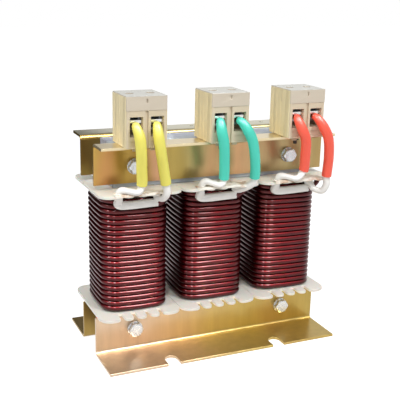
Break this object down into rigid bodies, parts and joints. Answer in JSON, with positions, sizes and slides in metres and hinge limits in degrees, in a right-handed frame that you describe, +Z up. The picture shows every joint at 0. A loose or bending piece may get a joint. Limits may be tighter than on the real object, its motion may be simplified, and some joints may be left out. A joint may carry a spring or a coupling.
{
  "type": "three-phase load-side reactor",
  "caption": "Output choke with enamelled copper coils on a laminated core, clamped between bent steel angles with slotted feet, with screw terminal blocks for the coil leads on the top angle.",
  "frame": {"origin": "on the floor, under the middle of the feet", "axes": "+X to the right along the front, where the terminal blocks are; +Y to the back; +Z up"},
  "size_m": [0.1916, 0.107, 0.2018],
  "materials": {
    "passivated_steel": "yellow zinc passivation, satin with a faint iridescence",
    "core_sheet": "stacked silicon steel sheets, dull",
    "insulation_board": "laminate, matte",
    "zinc_steel": "bright zinc plate",
    "spring_steel": "dark zinc plate",
    "nylon": "moulded, satin",
    "enamelled_copper": "glossy dark red enamel",
    "block_plastic": "moulded, satin",
    "tinned_brass": "tin plate",
    "bare_copper": "bare drawn copper",
    "yellow_sleeve": "flexible sleeve, satin",
    "teal_sleeve": "flexible sleeve, satin",
    "red_sleeve": "flexible sleeve, satin",
    "glass_sleeving": "varnished glass-fibre braid",
    "clamp_steel": "zinc plate"
  },
  "bodies": {
    "reactor": {"bottom_angle_front": "passivated_steel", "bottom_angle_rear": "passivated_steel", "top_angle_front": "passivated_steel", "top_angle_rear": "passivated_steel", "core_e_stack": "core_sheet", "core_i_yoke": "core_sheet", "air_gap_pads": "insulation_board", "bolt_tubes": "insulation_board", "layer_insulation_left": "insulation_board", "layer_insulation_middle": "insulation_board", "layer_insulation_right": "insulation_board", "through_bolts": "zinc_steel", "plain_washers": "zinc_steel", "bolt_nuts": "zinc_steel", "block_screws": "zinc_steel", "block_nuts": "zinc_steel", "spring_washers": "spring_steel", "bobbin_left": "nylon", "bobbin_middle": "nylon", "bobbin_right": "nylon", "inner_winding_left": "enamelled_copper", "inner_winding_middle": "enamelled_copper", "inner_winding_right": "enamelled_copper", "outer_winding_left": "enamelled_copper", "outer_winding_middle": "enamelled_copper", "outer_winding_right": "enamelled_copper", "terminal_housing_left": "block_plastic", "terminal_housing_middle": "block_plastic", "terminal_housing_right": "block_plastic", "terminal_cap_left": "block_plastic", "terminal_cap_middle": "block_plastic", "terminal_cap_right": "block_plastic", "busbars": "tinned_brass", "wire_ends": "bare_copper", "yellow_sleeve_in": "yellow_sleeve", "yellow_sleeve_out": "yellow_sleeve", "teal_sleeve_in": "teal_sleeve", "teal_sleeve_out": "teal_sleeve", "red_sleeve_in": "red_sleeve", "red_sleeve_out": "red_sleeve", "glass_sleeve_left_in": "glass_sleeving", "glass_sleeve_left_out": "glass_sleeving", "glass_sleeve_middle_in": "glass_sleeving", "glass_sleeve_middle_out": "glass_sleeving", "glass_sleeve_right_in": "glass_sleeving", "glass_sleeve_right_out": "glass_sleeving"},
    "clamp_screw_left_in": {"clamp_screw_left_in": "clamp_steel"},
    "clamp_cage_left_in": {"clamp_cage_left_in": "clamp_steel"},
    "clamp_screw_left_out": {"clamp_screw_left_out": "clamp_steel"},
    "clamp_cage_left_out": {"clamp_cage_left_out": "clamp_steel"},
    "clamp_screw_middle_in": {"clamp_screw_middle_in": "clamp_steel"},
    "clamp_cage_middle_in": {"clamp_cage_middle_in": "clamp_steel"},
    "clamp_screw_middle_out": {"clamp_screw_middle_out": "clamp_steel"},
    "clamp_cage_middle_out": {"clamp_cage_middle_out": "clamp_steel"},
    "clamp_screw_right_in": {"clamp_screw_right_in": "clamp_steel"},
    "clamp_cage_right_in": {"clamp_cage_right_in": "clamp_steel"},
    "clamp_screw_right_out": {"clamp_screw_right_out": "clamp_steel"},
    "clamp_cage_right_out": {"clamp_cage_right_out": "clamp_steel"}
  },
  "joints": [
    {"name": "screw_turn_left_in", "type": "hinge", "parent": "reactor", "child": "clamp_screw_left_in", "pos_m": [-0.0717, -0.0283, 0.1924], "axis": [0, 0, 1], "range_deg": [0, 1260]},
    {"name": "cage_travel_left_in", "type": "slide", "parent": "reactor", "child": "clamp_cage_left_in", "axis": [0, 0, -1], "range_m": [0, 0.0028]},
    {"name": "screw_turn_left_out", "type": "hinge", "parent": "reactor", "child": "clamp_screw_left_out", "pos_m": [-0.0563, -0.0283, 0.1924], "axis": [0, 0, 1], "range_deg": [0, 1260]},
    {"name": "cage_travel_left_out", "type": "slide", "parent": "reactor", "child": "clamp_cage_left_out", "axis": [0, 0, -1], "range_m": [0, 0.0028]},
    {"name": "screw_turn_middle_in", "type": "hinge", "parent": "reactor", "child": "clamp_screw_middle_in", "pos_m": [-0.0077, -0.0283, 0.1924], "axis": [0, 0, 1], "range_deg": [0, 1260]},
    {"name": "cage_travel_middle_in", "type": "slide", "parent": "reactor", "child": "clamp_cage_middle_in", "axis": [0, 0, -1], "range_m": [0, 0.0028]},
    {"name": "screw_turn_middle_out", "type": "hinge", "parent": "reactor", "child": "clamp_screw_middle_out", "pos_m": [0.0077, -0.0283, 0.1924], "axis": [0, 0, 1], "range_deg": [0, 1260]},
    {"name": "cage_travel_middle_out", "type": "slide", "parent": "reactor", "child": "clamp_cage_middle_out", "axis": [0, 0, -1], "range_m": [0, 0.0028]},
    {"name": "screw_turn_right_in", "type": "hinge", "parent": "reactor", "child": "clamp_screw_right_in", "pos_m": [0.0563, -0.0283, 0.1924], "axis": [0, 0, 1], "range_deg": [0, 1260]},
    {"name": "cage_travel_right_in", "type": "slide", "parent": "reactor", "child": "clamp_cage_right_in", "axis": [0, 0, -1], "range_m": [0, 0.0028]},
    {"name": "screw_turn_right_out", "type": "hinge", "parent": "reactor", "child": "clamp_screw_right_out", "pos_m": [0.0717, -0.0283, 0.1924], "axis": [0, 0, 1], "range_deg": [0, 1260]},
    {"name": "cage_travel_right_out", "type": "slide", "parent": "reactor", "child": "clamp_cage_right_out", "axis": [0, 0, -1], "range_m": [0, 0.0028]}
  ],
  "couplings": [
    {"joint": "cage_travel_left_in", "follows": "screw_turn_left_in", "m_per_rad": 0.00012732},
    {"joint": "cage_travel_left_out", "follows": "screw_turn_left_out", "m_per_rad": 0.00012732},
    {"joint": "cage_travel_middle_in", "follows": "screw_turn_middle_in", "m_per_rad": 0.00012732},
    {"joint": "cage_travel_middle_out", "follows": "screw_turn_middle_out", "m_per_rad": 0.00012732},
    {"joint": "cage_travel_right_in", "follows": "screw_turn_right_in", "m_per_rad": 0.00012732},
    {"joint": "cage_travel_right_out", "follows": "screw_turn_right_out", "m_per_rad": 0.00012732}
  ]
}
